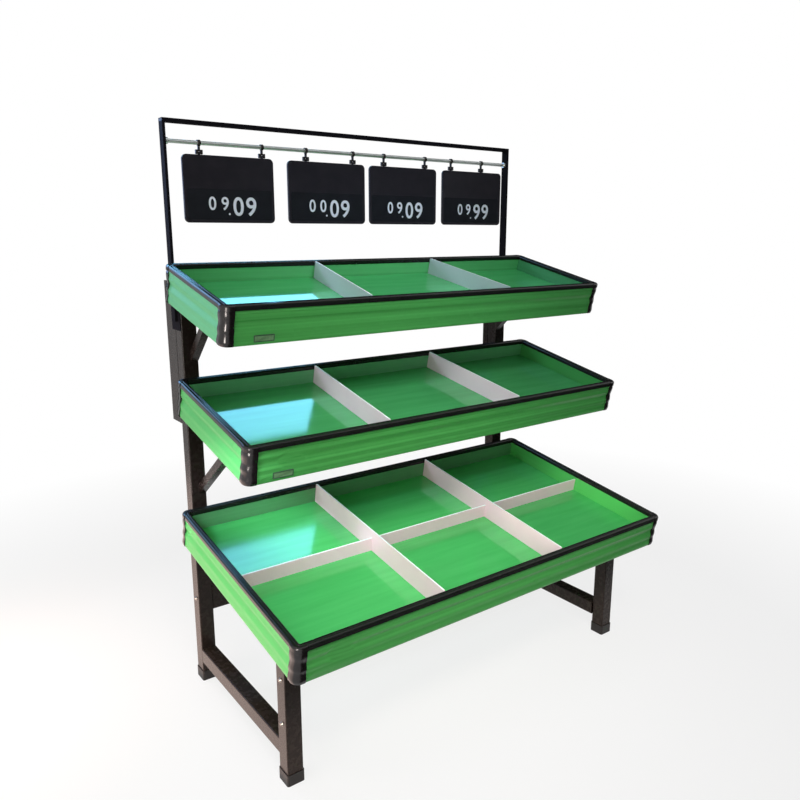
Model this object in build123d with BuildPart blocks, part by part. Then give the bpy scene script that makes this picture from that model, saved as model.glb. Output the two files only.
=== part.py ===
"""Three-tier sloping produce rack with a hanging price rail, in millimetres.

X runs to the right, Y to the back and Z up. The origin is on the floor under the middle of the rack.
"""
import math
import os

from build123d import *

os.makedirs("parts", exist_ok=True)

# Square steel frame
POST = 40.0
TUBE_WALL = 1.5
TUBE_CORNER = 3.0
POST_OUTER_X = 559.5
POST_INNER_X = POST_OUTER_X - POST
POST_FRONT_Y = 263.0
POST_BACK_Y = POST_FRONT_Y + POST
POST_TOP_Z = 1118.0
LEG_OUTER_X = 564.5
LEG_INNER_X = LEG_OUTER_X - POST
LEG_FRONT_Y = -239.5
LEG_BACK_Y = LEG_FRONT_Y + POST
FOOT_SOLE = 3.0
FOOT_SKIRT = 2.0
FOOT_HEIGHT = 28.0
FOOT_GAP = 0.1
CAP_PLATE = 3.0
CAP_PLUG = 12.0
CAP_GAP = 0.2

# Bars between the legs and posts
STRETCHER_LOW_Z = 55.0
TRAY_RAIL = 32.0
REAR_BEAM_LOW_Z = 205.0
REAR_BEAM_HEIGHT = 79.0

# Angles bolted up the backs of the posts, and the plates that carry the sign frame
ANGLE_LEG = 61.6
ANGLE_WALL = 3.0
ANGLE_LOW_Z = 731.0
ANGLE_TOP_Z = 1098.0
PLATE = 2.0
PLATE_DEPTH = 56.0
PLATE_LOW_Z = 977.0
PLATE_TOP_Z = 1110.0

# Sign frame and the price rail
SIGN_TUBE = 7.0
SIGN_BAR = 9.0
SIGN_DEPTH = 24.0
SIGN_WALL = 1.2
SIGN_OUTER_X = POST_OUTER_X + PLATE + SIGN_TUBE
SIGN_INNER_X = SIGN_OUTER_X - SIGN_TUBE
SIGN_Y = 288.2
SIGN_FOOT_Z = 1000.0
SIGN_TOP_Z = 1482.2
RAIL_Z = 1431.4
RAIL_RADIUS = 5.0
RAIL_WALL = 1.0
COLLAR_RADIUS = 8.0
COLLAR_LENGTH = 7.0

# Bolts that show on the outer faces
BOLT_HEAD = 5.8
BOLT_DOME = 4.0
BOLT_DOME_TAPER = 35.0
BOLT_SHANK = 4.0
BOLT_HOLE = 4.2
BOLT_REACH = 4.0
BEAM_BOLT_Z = 241.0
LEG_BOLT_LOW_Z = 150.0
LEG_BOLT_HIGH_Z = 259.0
PLATE_BOLT_LOW_Z = 1045.0
PLATE_BOLT_STEP_Z = 45.0
PLATE_BOLT_FRONT_Y = 269.9
PLATE_BOLT_BACK_Y = 311.5

# Trays: a rim strip on four wavy walls, corner pieces, and a floor board
TRAY_WIDTH = 1200.0
HALF = TRAY_WIDTH / 2
RIM_INSET = 1.5
RIM_BACK = 19.0
RIM_HEIGHT = 12.0
RIM_ROUND = 5.0
RIM_GROOVE = 1.6
RIM_GROOVE_IN = 11.0
WALL_HEIGHT = 92.0
WALL_BACK = 18.0
WALL_CHAMBER_OUT = 9.6
WALL_CHAMBER_IN = 15.6
WALL_SKIN = 3.0
TONGUE_FRONT = 12.4
TONGUE_GAP = 0.2
TONGUE_END_GAP = 0.1
CORNER_ROUND = 20.0
CORNER_LEG = 8.0
CORNER_SPAN = CORNER_ROUND + CORNER_LEG
CORNER_BACK = 12.0
FLOOR_INSET = 18.5
FLOOR_BOARD = 6.0
FLOOR_GAP = 0.3
FLOOR_ROUND = 6.0
TRAY_NOSE = 30.0

# Arms and braces that hold the two upper trays, and the rails under the lowest one
ARM_WIDTH = 20.0
ARM_HEIGHT = 25.0
ARM_NOTCH_GAP = 1.0
BRACE = 20.0
BRACE_WALL = 1.2

# Loose plastic dividers
DIVIDER = 4.0
DIVIDER_TOP_DROP = 0.0
DIVIDER_END_GAP = 0.5
DIVIDER_FLOOR_GAP = 0.3
DIVIDER_ROUND = 2.0
CROSS_HEIGHT = 37.0
CROSS_LAP = 15.0
CROSS_FROM_REAR = 311.0
SLOT_GAP = 0.2

# Price boards and the clips that hang them
BOARD_WIDTH = 245.0
BOARD_HEIGHT = 163.0
BOARD_THICK = 8.0
BOARD_ROUND = 12.0
BOARD_TOP_Z = 1404.0
PIN_RISE = 4.0
PIN_RADIUS = 1.6
PIN_HOLE = 1.65
LUG_WIDTH = 5.0
LUG_RADIUS = 3.4
CHEEK_GAP = 0.4
CHEEK_WIDTH = 6.0
CHEEK_RADIUS = 3.3
CLIP_BRIDGE_LOW = 4.0
CLIP_BRIDGE_HIGH = 7.5
CLIP_STEM = 5.0
CLIP_RING_GAP = 0.3
CLIP_RING_WALL = 2.2
CLIP_RING_IN = RAIL_RADIUS + CLIP_RING_GAP
CLIP_RING_OUT = CLIP_RING_IN + CLIP_RING_WALL
CLIP_RING_WIDTH = 7.0
CLIP_MOUTH = 7.0
CLIP_FOOT_DEPTH = 6.0

# A loose divider stands at an x, turned a few degrees so that its front end points to the right
TRAYS = {
    "top": {"rear_y": 242.6, "rear_z": 1146.3, "depth": 350.0, "slope": 12.97, "floor_drop": 46.0,
            "divider_left": (-204.0, -4.4), "divider_right": (222.5, 7.1)},
    "middle": {"rear_y": 214.1, "rear_z": 868.2, "depth": 404.0, "slope": 12.33, "floor_drop": 50.0,
               "divider_left": (-221.0, -0.9), "divider_right": (194.0, 4.1)},
    "bottom": {"rear_y": 246.6, "rear_z": 515.6, "depth": 620.5, "slope": 9.48, "floor_drop": 56.0,
               "divider_left": (-205.0, 0.0), "divider_right": (193.0, 0.0)},
}

BRACES = {
    "top": {"foot_z": 899.0, "rise": 43.3},
    "middle": {"foot_z": 546.0, "rise": 37.1},
}

PRICE_BOARDS = {
    "first": {"middle_x": -400.0, "clip_left_x": -477.0, "clip_right_x": -308.0},
    "second": {"middle_x": -112.0, "clip_left_x": -178.0, "clip_right_x": -28.0},
    "third": {"middle_x": 150.3, "clip_left_x": 78.7, "clip_right_x": 230.0},
    "fourth": {"middle_x": 421.2, "clip_left_x": 332.5, "clip_right_x": 458.0},
}

# Wavy outer lines of the walls and corner pieces, as inset from the tray's edge and drop below the rim
WALL_WAVE = {
    "neck": (4.7, RIM_HEIGHT),
    "collar": (3.7, 15.5),
    "dip": (4.7, 22.5),
    "shoulder": (3.3, 31.7),
    "waist": (7.1, 43.5),
    "belly": (2.8, 60.0),
    "crease": (3.9, 70.7),
    "skirt": (2.7, 80.7),
    "hem": (3.8, WALL_HEIGHT),
}
CORNER_WAVE = {
    "neck": (2.2, RIM_HEIGHT),
    "ring": (0.7, 26.0),
    "waist": (2.5, 42.0),
    "belly": (0.6, 58.0),
    "crease": (1.7, 66.0),
    "skirt": (0.7, 75.0),
    "hem": (1.8, 91.5),
}

SIDES = {"left": -1.0, "right": 1.0}


def save(builder, name):
    """Label a finished piece and write it out."""
    builder.part.label = name
    export_step(builder.part, f"parts/{name}.step")
    size = builder.part.bounding_box().size
    print(f"{name}: {len(builder.part.solids())} solids, {size.X:.1f} x {size.Y:.1f} x {size.Z:.1f}")


def tray_plane(tray):
    """Plane of a tray's rim top: x to the right, y up the slope to the rear edge, z out of the tray."""
    tilt = math.radians(tray["slope"])
    return Plane(
        origin=(0, tray["rear_y"], tray["rear_z"]),
        x_dir=(1, 0, 0),
        z_dir=(0, -math.sin(tilt), math.cos(tilt)),
    )


def tray_height(tray, y, drop):
    """Height at depth y of the sloping plane that lies drop below the rim."""
    tilt = math.radians(tray["slope"])
    return tray["rear_z"] + (y - tray["rear_y"]) * math.tan(tilt) - drop / math.cos(tilt)


def under_floor(tray):
    """Drop from a tray's rim to the underside of its floor board."""
    return tray["floor_drop"] + FLOOR_BOARD


def tray_point(tray, down_slope, drop):
    """Y and Z of a point measured down the slope from the rear edge and below the rim."""
    spot = tray_plane(tray).from_local_coords((0, -down_slope, -drop))
    return spot.Y, spot.Z


def side_plane(tray, side):
    """Section plane at one end of a tray side: x points into the tray, y out of its top."""
    rim = tray_plane(tray)
    depth = tray["depth"]
    starts = {
        "front": (-HALF + CORNER_SPAN, -depth, 0),
        "rear": (HALF - CORNER_SPAN, 0, 0),
        "left": (-HALF, -CORNER_SPAN, 0),
        "right": (HALF, -depth + CORNER_SPAN, 0),
    }
    along = {"front": rim.x_dir, "rear": -rim.x_dir, "left": -rim.y_dir, "right": rim.y_dir}
    inward = {"front": rim.y_dir, "rear": -rim.y_dir, "left": rim.x_dir, "right": -rim.x_dir}
    return Plane(
        origin=rim.from_local_coords(starts[side]),
        x_dir=inward[side],
        z_dir=along[side],
    )


def side_length(tray, side):
    """Length of a wall or rim strip between two corner pieces."""
    whole = TRAY_WIDTH if side in ("front", "rear") else tray["depth"]
    return whole - 2 * CORNER_SPAN


def square_tube(low, high, x_mid, y_mid, holes):
    """Upright tube with bolt holes through one outer wall, given as (height, y, side)."""
    with BuildPart() as tube:
        with BuildSketch(Plane.XY.offset(low)):
            with Locations((x_mid, y_mid)):
                RectangleRounded(POST, POST, TUBE_CORNER)
                RectangleRounded(
                    POST - 2 * TUBE_WALL,
                    POST - 2 * TUBE_WALL,
                    TUBE_CORNER - TUBE_WALL,
                    mode=Mode.SUBTRACT,
                )
        extrude(amount=high - low)
        for height, y, side in holes:
            with Locations((x_mid + side * POST / 2, y, height)):
                Cylinder(BOLT_HOLE, 4 * TUBE_WALL, rotation=(0, 90, 0), mode=Mode.SUBTRACT)
    return tube


def slanted_tube(x_low, x_high, wall, outline, bore):
    """Tube whose side view is a four-cornered outline of (y, z) points, bored through along its run."""
    with BuildPart() as tube:
        with BuildSketch(Plane.YZ.offset(x_low)):
            with BuildLine():
                Polyline(*outline, close=True)
            make_face()
        extrude(amount=x_high - x_low)
        with BuildSketch(Plane.YZ.offset(x_low + wall)):
            with BuildLine():
                Polyline(*bore, close=True)
            make_face()
        extrude(amount=x_high - x_low - 2 * wall, mode=Mode.SUBTRACT)
    return tube


def tray_bar_outline(tray, top_drop, low_drop):
    """Side view of a bar that runs under a tray floor from the post face to near the front wall."""
    nose = tray["depth"] - TRAY_NOSE
    return [
        (POST_FRONT_Y, tray_height(tray, POST_FRONT_Y, top_drop)),
        (POST_FRONT_Y, tray_height(tray, POST_FRONT_Y, low_drop)),
        tray_point(tray, nose, low_drop),
        tray_point(tray, nose, top_drop),
    ]


def brace_outline(tray, brace, low, high):
    """Side view of a brace between its distances low and high across the run, post to arm."""
    rise = math.radians(brace["rise"])
    tilt = math.radians(tray["slope"])
    arm_low = under_floor(tray) + ARM_HEIGHT

    def ends(across):
        foot = brace["foot_z"] + across / math.cos(rise)
        gap = tray_height(tray, POST_FRONT_Y, arm_low) - foot
        reach = gap / (math.tan(rise) + math.tan(tilt))
        return (POST_FRONT_Y, foot), (POST_FRONT_Y - reach, foot + reach * math.tan(rise))

    foot_low, head_low = ends(low)
    foot_high, head_high = ends(high)
    return [foot_low, head_low, head_high, foot_high]


def rim_bead(inset):
    """Rounded rim section with its groove, from an inset to the rim's back, for the sketch that is open."""
    with Locations(((inset + RIM_BACK) / 2, -RIM_HEIGHT / 2)):
        bead = Rectangle(RIM_BACK - inset, RIM_HEIGHT)
    fillet(bead.vertices().group_by(Axis.Y)[-1], RIM_ROUND)
    with Locations((RIM_GROOVE_IN, 0)):
        Circle(RIM_GROOVE, mode=Mode.SUBTRACT)


# Rear posts, with the sign plates' and the rear beam's bolt holes
post_mid_x = POST_OUTER_X - POST / 2
post_mid_y = POST_FRONT_Y + POST / 2
leg_mid_x = LEG_OUTER_X - POST / 2
leg_mid_y = LEG_FRONT_Y + POST / 2
plate_bolts_z = (PLATE_BOLT_LOW_Z, PLATE_BOLT_LOW_Z + PLATE_BOLT_STEP_Z)
for side_name, side in SIDES.items():
    post_holes = [(BEAM_BOLT_Z, post_mid_y, side)]
    post_holes += [(height, PLATE_BOLT_FRONT_Y, side) for height in plate_bolts_z]
    post = square_tube(FOOT_SOLE, POST_TOP_Z, side * post_mid_x, post_mid_y, post_holes)
    save(post, f"{side_name}_rear_post")

# Front legs end under the rails of the lowest tray
bottom_tray = TRAYS["bottom"]
rail_drop = under_floor(bottom_tray)
leg_top_z = tray_height(bottom_tray, LEG_FRONT_Y, rail_drop + TRAY_RAIL)
for side_name, side in SIDES.items():
    leg_holes = [(height, leg_mid_y, side) for height in (LEG_BOLT_LOW_Z, LEG_BOLT_HIGH_Z)]
    leg = square_tube(FOOT_SOLE, leg_top_z, side * leg_mid_x, leg_mid_y, leg_holes)
    save(leg, f"{side_name}_front_leg")

# Floor stretchers between leg and post, in line with the post
for side_name, side in SIDES.items():
    with BuildPart() as stretcher:
        with BuildSketch(Plane.XZ.offset(-POST_FRONT_Y)):
            with Locations((side * post_mid_x, STRETCHER_LOW_Z + POST / 2)):
                RectangleRounded(POST, POST, TUBE_CORNER)
                RectangleRounded(
                    POST - 2 * TUBE_WALL,
                    POST - 2 * TUBE_WALL,
                    TUBE_CORNER - TUBE_WALL,
                    mode=Mode.SUBTRACT,
                )
        extrude(amount=POST_FRONT_Y - LEG_BACK_Y)
    save(stretcher, f"{side_name}_floor_stretcher")

# Rails under the lowest tray, from the rear posts over the front legs
for side_name, side in SIDES.items():
    edges_x = sorted((side * POST_INNER_X, side * (POST_INNER_X + TRAY_RAIL)))
    rail = slanted_tube(
        edges_x[0],
        edges_x[1],
        TUBE_WALL,
        tray_bar_outline(bottom_tray, rail_drop, rail_drop + TRAY_RAIL),
        tray_bar_outline(bottom_tray, rail_drop + TUBE_WALL, rail_drop + TRAY_RAIL - TUBE_WALL),
    )
    save(rail, f"{side_name}_tray_rail")

# Cross beams: a deep one between the rear posts and one between the front legs
with BuildPart() as rear_beam:
    with BuildSketch(Plane.YZ.offset(-POST_INNER_X)):
        with Locations((post_mid_y, REAR_BEAM_LOW_Z + REAR_BEAM_HEIGHT / 2)):
            RectangleRounded(POST, REAR_BEAM_HEIGHT, TUBE_CORNER)
            RectangleRounded(
                POST - 2 * TUBE_WALL,
                REAR_BEAM_HEIGHT - 2 * TUBE_WALL,
                TUBE_CORNER - TUBE_WALL,
                mode=Mode.SUBTRACT,
            )
    extrude(amount=2 * POST_INNER_X)
save(rear_beam, "rear_cross_beam")

with BuildPart() as front_beam:
    with BuildSketch(Plane.YZ.offset(-LEG_INNER_X)):
        with Locations((leg_mid_y, leg_top_z - POST / 2)):
            RectangleRounded(POST, POST, TUBE_CORNER)
            RectangleRounded(
                POST - 2 * TUBE_WALL,
                POST - 2 * TUBE_WALL,
                TUBE_CORNER - TUBE_WALL,
                mode=Mode.SUBTRACT,
            )
    extrude(amount=2 * LEG_INNER_X)
save(front_beam, "front_cross_beam")

# Back angles, one leg behind each post and one running back in line with its outer face
with BuildPart() as back_angles:
    for side in SIDES.values():
        with BuildSketch(Plane.XY.offset(ANGLE_LOW_Z)):
            with Locations((side * (POST_OUTER_X - ANGLE_WALL / 2), POST_BACK_Y + ANGLE_LEG / 2)):
                Rectangle(ANGLE_WALL, ANGLE_LEG)
            with Locations((side * post_mid_x, POST_BACK_Y + ANGLE_WALL / 2)):
                Rectangle(POST, ANGLE_WALL)
        extrude(amount=ANGLE_TOP_Z - ANGLE_LOW_Z)
        for height in plate_bolts_z:
            with Locations((side * (POST_OUTER_X - ANGLE_WALL / 2), PLATE_BOLT_BACK_Y, height)):
                Cylinder(BOLT_HOLE, 2 * ANGLE_WALL, rotation=(0, 90, 0), mode=Mode.SUBTRACT)
save(back_angles, "back_angles")

# Plates on the outer faces that tie post, angle and sign frame together
with BuildPart() as sign_plates:
    for side in SIDES.values():
        plate_mid_x = side * (POST_OUTER_X + PLATE / 2)
        with Locations((plate_mid_x, POST_FRONT_Y + PLATE_DEPTH / 2, (PLATE_LOW_Z + PLATE_TOP_Z) / 2)):
            Box(PLATE, PLATE_DEPTH, PLATE_TOP_Z - PLATE_LOW_Z)
        for height in plate_bolts_z:
            for y in (PLATE_BOLT_FRONT_Y, PLATE_BOLT_BACK_Y):
                with Locations((plate_mid_x, y, height)):
                    Cylinder(BOLT_HOLE, 2 * PLATE, rotation=(0, 90, 0), mode=Mode.SUBTRACT)
save(sign_plates, "sign_plates")

# Arms and braces of the two upper trays, flush with the posts' inner faces
for tray_name, brace in BRACES.items():
    tray = TRAYS[tray_name]
    arm_drop = under_floor(tray)
    for side_name, side in SIDES.items():
        edges_x = sorted((side * POST_INNER_X, side * (POST_INNER_X + ARM_WIDTH)))
        arm = slanted_tube(
            edges_x[0],
            edges_x[1],
            TUBE_WALL,
            tray_bar_outline(tray, arm_drop, arm_drop + ARM_HEIGHT),
            tray_bar_outline(tray, arm_drop + TUBE_WALL, arm_drop + ARM_HEIGHT - TUBE_WALL),
        )
        save(arm, f"{side_name}_{tray_name}_arm")
        strut = slanted_tube(
            edges_x[0],
            edges_x[1],
            BRACE_WALL,
            brace_outline(tray, brace, 0, BRACE),
            brace_outline(tray, brace, BRACE_WALL, BRACE - BRACE_WALL),
        )
        save(strut, f"{side_name}_{tray_name}_brace")

# Plastic foot sleeves under the four uprights
with BuildPart() as feet:
    for side in SIDES.values():
        for x, y in ((post_mid_x, post_mid_y), (leg_mid_x, leg_mid_y)):
            with BuildSketch():
                with Locations((side * x, y)):
                    RectangleRounded(POST + 2 * FOOT_SKIRT, POST + 2 * FOOT_SKIRT, TUBE_CORNER + FOOT_SKIRT)
            extrude(amount=FOOT_HEIGHT)
            with BuildSketch(Plane.XY.offset(FOOT_SOLE)):
                with Locations((side * x, y)):
                    RectangleRounded(POST + 2 * FOOT_GAP, POST + 2 * FOOT_GAP, TUBE_CORNER + FOOT_GAP)
            extrude(amount=FOOT_HEIGHT, mode=Mode.SUBTRACT)
save(feet, "foot_sleeves")

# Dome-headed bolts on the outer faces
with BuildPart() as bolts:
    for side in SIDES.values():
        spots = [(POST_OUTER_X, post_mid_y, BEAM_BOLT_Z)]
        spots += [(LEG_OUTER_X, leg_mid_y, height) for height in (LEG_BOLT_LOW_Z, LEG_BOLT_HIGH_Z)]
        for height in plate_bolts_z:
            spots += [(POST_OUTER_X + PLATE, y, height) for y in (PLATE_BOLT_FRONT_Y, PLATE_BOLT_BACK_Y)]
        for x, y, z in spots:
            with BuildSketch(Plane(origin=(side * x, y, z), x_dir=(0, 1, 0), z_dir=(side, 0, 0))):
                Circle(BOLT_HEAD)
            extrude(amount=BOLT_DOME, taper=BOLT_DOME_TAPER)
            with BuildSketch(Plane(origin=(side * x, y, z), x_dir=(0, 1, 0), z_dir=(-side, 0, 0))):
                Circle(BOLT_SHANK)
            extrude(amount=PLATE + BOLT_REACH)
save(bolts, "frame_bolts")

# Sign frame: two flat posts on the plates and a bar across their tops
sign_bar_low_z = SIGN_TOP_Z - SIGN_BAR
for side_name, side in SIDES.items():
    with BuildPart() as sign_post:
        with BuildSketch(Plane.XY.offset(SIGN_FOOT_Z)):
            with Locations((side * (SIGN_OUTER_X - SIGN_TUBE / 2), SIGN_Y)):
                Rectangle(SIGN_TUBE, SIGN_DEPTH)
                Rectangle(SIGN_TUBE - 2 * SIGN_WALL, SIGN_DEPTH - 2 * SIGN_WALL, mode=Mode.SUBTRACT)
        extrude(amount=sign_bar_low_z - SIGN_FOOT_Z)
    save(sign_post, f"{side_name}_sign_post")

with BuildPart() as sign_bar:
    with BuildSketch(Plane.YZ.offset(-SIGN_OUTER_X)):
        with Locations((SIGN_Y, SIGN_TOP_Z - SIGN_BAR / 2)):
            Rectangle(SIGN_DEPTH, SIGN_BAR)
            Rectangle(SIGN_DEPTH - 2 * SIGN_WALL, SIGN_BAR - 2 * SIGN_WALL, mode=Mode.SUBTRACT)
    extrude(amount=2 * SIGN_OUTER_X)
save(sign_bar, "sign_top_bar")

# Round price rail with a collar against each sign post
with BuildPart() as price_rail:
    with BuildSketch(Plane(origin=(-SIGN_INNER_X, SIGN_Y, RAIL_Z), x_dir=(0, 1, 0), z_dir=(1, 0, 0))):
        Circle(RAIL_RADIUS)
    extrude(amount=2 * SIGN_INNER_X)
    for side in SIDES.values():
        collar_x = side * (SIGN_INNER_X - COLLAR_LENGTH / 2)
        with Locations((collar_x, SIGN_Y, RAIL_Z)):
            Cylinder(COLLAR_RADIUS, COLLAR_LENGTH, rotation=(0, 90, 0))
    with Locations((0, SIGN_Y, RAIL_Z)):
        Cylinder(RAIL_RADIUS - RAIL_WALL, 2 * SIGN_INNER_X, rotation=(0, 90, 0), mode=Mode.SUBTRACT)
save(price_rail, "price_rail")

# Plastic end caps: on the rear posts and in the ends of the sign bar
cap_bore = POST - 2 * TUBE_WALL - 2 * CAP_GAP
bar_bore_deep = SIGN_DEPTH - 2 * SIGN_WALL - 2 * CAP_GAP
bar_bore_high = SIGN_BAR - 2 * SIGN_WALL - 2 * CAP_GAP
with BuildPart() as caps:
    for side in SIDES.values():
        with BuildSketch(Plane.XY.offset(POST_TOP_Z)):
            with Locations((side * post_mid_x, post_mid_y)):
                RectangleRounded(POST, POST, TUBE_CORNER)
        extrude(amount=CAP_PLATE)
        with Locations((side * post_mid_x, post_mid_y, POST_TOP_Z - CAP_PLUG / 2)):
            Box(cap_bore - TUBE_CORNER, cap_bore - TUBE_CORNER, CAP_PLUG)
        with Locations((side * (SIGN_OUTER_X - CAP_PLUG / 2), SIGN_Y, SIGN_TOP_Z - SIGN_BAR / 2)):
            Box(CAP_PLUG, bar_bore_deep, bar_bore_high)
save(caps, "end_caps")


def wave_face(wave, back):
    """Closed section with a wavy outer line and a flat back, for the sketch that is open."""
    line = [(inset, -drop) for inset, drop in wave.values()]
    with BuildLine() as outline:
        Spline(*line)
        Polyline(line[-1], (back, line[-1][1]), (back, line[0][1]), line[0])
    make_face(outline.edges())


# One corner piece: the section turned through a quarter circle with a short straight leg at each end
with BuildPart() as corner:
    with BuildSketch(Plane(origin=(0, -CORNER_SPAN, 0), x_dir=(1, 0, 0), z_dir=(0, -1, 0))) as section:
        rim_bead(0)
        wave_face(CORNER_WAVE, CORNER_BACK)
    extrude(amount=-CORNER_LEG)
    revolve(
        Plane(origin=(0, CORNER_LEG, 0)) * section.sketch,
        axis=Axis((CORNER_ROUND, -CORNER_ROUND, 0), (0, 0, 1)),
        revolution_arc=-90,
    )
    with BuildSketch(Plane(origin=(CORNER_SPAN, 0, 0), x_dir=(0, -1, 0), z_dir=(-1, 0, 0))):
        rim_bead(0)
        wave_face(CORNER_WAVE, CORNER_BACK)
    extrude(amount=CORNER_LEG)
corner_shape = corner.part

for tray_name, tray in TRAYS.items():
    rim_plane = tray_plane(tray)
    tray_up = Axis(rim_plane.origin, rim_plane.z_dir)
    depth = tray["depth"]

    with BuildPart(rim_plane) as floor_board:
        with Locations((0, -depth / 2, -tray["floor_drop"] - FLOOR_BOARD / 2)):
            Box(
                TRAY_WIDTH - 2 * FLOOR_INSET - 2 * FLOOR_GAP,
                depth - 2 * FLOOR_INSET - 2 * FLOOR_GAP,
                FLOOR_BOARD,
            )
        fillet(floor_board.edges().filter_by(tray_up), FLOOR_ROUND)
    save(floor_board, f"{tray_name}_tray_floor")

    # Walls: a wavy hollow profile, with an inner tongue at both ends that runs in behind the corner pieces
    walls = {}
    chamber_high = WALL_HEIGHT - RIM_HEIGHT - 2 * WALL_SKIN
    chamber_mid = (WALL_CHAMBER_OUT + WALL_CHAMBER_IN) / 2
    tongue_high = WALL_HEIGHT - RIM_HEIGHT - TONGUE_GAP
    tongue_reach = CORNER_SPAN - WALL_BACK - TONGUE_END_GAP
    for side_name in ("front", "rear", "left", "right"):
        start = side_plane(tray, side_name)
        length = side_length(tray, side_name)
        with BuildPart() as wall:
            with BuildSketch(start):
                wave_face(WALL_WAVE, WALL_BACK)
            extrude(amount=length)
            with BuildSketch(start.offset(-tongue_reach)):
                with Locations(((TONGUE_FRONT + WALL_BACK) / 2, tongue_high / 2 - WALL_HEIGHT)):
                    Rectangle(WALL_BACK - TONGUE_FRONT, tongue_high)
            extrude(amount=length + 2 * tongue_reach)
            with BuildSketch(start):
                with Locations((chamber_mid, -RIM_HEIGHT - WALL_SKIN - chamber_high / 2)):
                    Rectangle(WALL_CHAMBER_IN - WALL_CHAMBER_OUT, chamber_high)
            extrude(amount=length, mode=Mode.SUBTRACT)
        walls[side_name] = wall

    bar_width = TRAY_RAIL if tray_name == "bottom" else ARM_WIDTH
    notch_high = WALL_HEIGHT - under_floor(tray) + ARM_NOTCH_GAP
    with BuildPart() as rear_wall:
        add(walls["rear"].part)
        for side in SIDES.values():
            notch_x = side * (POST_INNER_X + bar_width / 2)
            notch = Location((notch_x, -WALL_BACK / 2, -WALL_HEIGHT + notch_high / 2))
            with Locations(rim_plane.location * notch):
                Box(bar_width + 2 * ARM_NOTCH_GAP, 2 * WALL_BACK, notch_high, mode=Mode.SUBTRACT)
    save(walls["front"], f"{tray_name}_tray_front_wall")
    save(rear_wall, f"{tray_name}_tray_rear_wall")

    with BuildPart() as end_walls:
        add(walls["left"].part)
        add(walls["right"].part)
    save(end_walls, f"{tray_name}_tray_end_walls")

    with BuildPart() as rim_strips:
        for side_name in ("front", "rear", "left", "right"):
            with BuildSketch(side_plane(tray, side_name)):
                rim_bead(RIM_INSET)
            extrude(amount=side_length(tray, side_name))
    save(rim_strips, f"{tray_name}_tray_rim_strips")

    with BuildPart(rim_plane) as corner_pieces:
        with Locations(Location((-HALF, 0, 0))):
            add(corner_shape)
        with Locations(Location((-HALF, -depth, 0), (0, 0, 90))):
            add(corner_shape)
        with Locations(Location((HALF, -depth, 0), (0, 0, 180))):
            add(corner_shape)
        with Locations(Location((HALF, 0, 0), (0, 0, 270))):
            add(corner_shape)
    save(corner_pieces, f"{tray_name}_tray_corners")

    # Dividers stand on the floor between front and rear rim; the lowest tray has one across them
    divider_low = tray["floor_drop"] - DIVIDER_FLOOR_GAP
    divider_high = divider_low - DIVIDER_TOP_DROP
    divider_long = depth - 2 * RIM_BACK - 2 * DIVIDER_END_GAP
    for side_name in SIDES:
        divider_x, divider_turn = tray[f"divider_{side_name}"]
        foot = Location((divider_x, -depth / 2, -divider_low), (0, 0, divider_turn))
        divider_plane = Plane(rim_plane.location * foot)
        with BuildPart(divider_plane) as divider:
            with Locations((0, 0, divider_high / 2)):
                Box(DIVIDER, divider_long, divider_high)
            across = Axis(divider_plane.origin, divider_plane.x_dir)
            top_ends = divider.edges().filter_by(across).sort_by(tray_up)[-2:]
            fillet(top_ends, DIVIDER_ROUND)
            if tray_name == "bottom":
                with Locations((0, depth / 2 - CROSS_FROM_REAR, CROSS_LAP / 2)):
                    Box(2 * DIVIDER, DIVIDER + 2 * SLOT_GAP, CROSS_LAP + SLOT_GAP, mode=Mode.SUBTRACT)
        save(divider, f"{tray_name}_tray_{side_name}_divider")

cross_long = TRAY_WIDTH - 2 * RIM_BACK - 2 * DIVIDER_END_GAP
with BuildPart(tray_plane(bottom_tray)) as cross_divider:
    with Locations((0, -CROSS_FROM_REAR, -divider_low + CROSS_HEIGHT / 2)):
        Box(cross_long, DIVIDER, CROSS_HEIGHT)
    slot_high = CROSS_HEIGHT - CROSS_LAP + SLOT_GAP
    for side_name in SIDES:
        slot_x = bottom_tray[f"divider_{side_name}"][0]
        with Locations((slot_x, -CROSS_FROM_REAR, -divider_low + CROSS_HEIGHT - slot_high / 2)):
            Box(DIVIDER + 2 * SLOT_GAP, 2 * DIVIDER, slot_high + SLOT_GAP, mode=Mode.SUBTRACT)
save(cross_divider, "bottom_tray_cross_divider")

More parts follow.
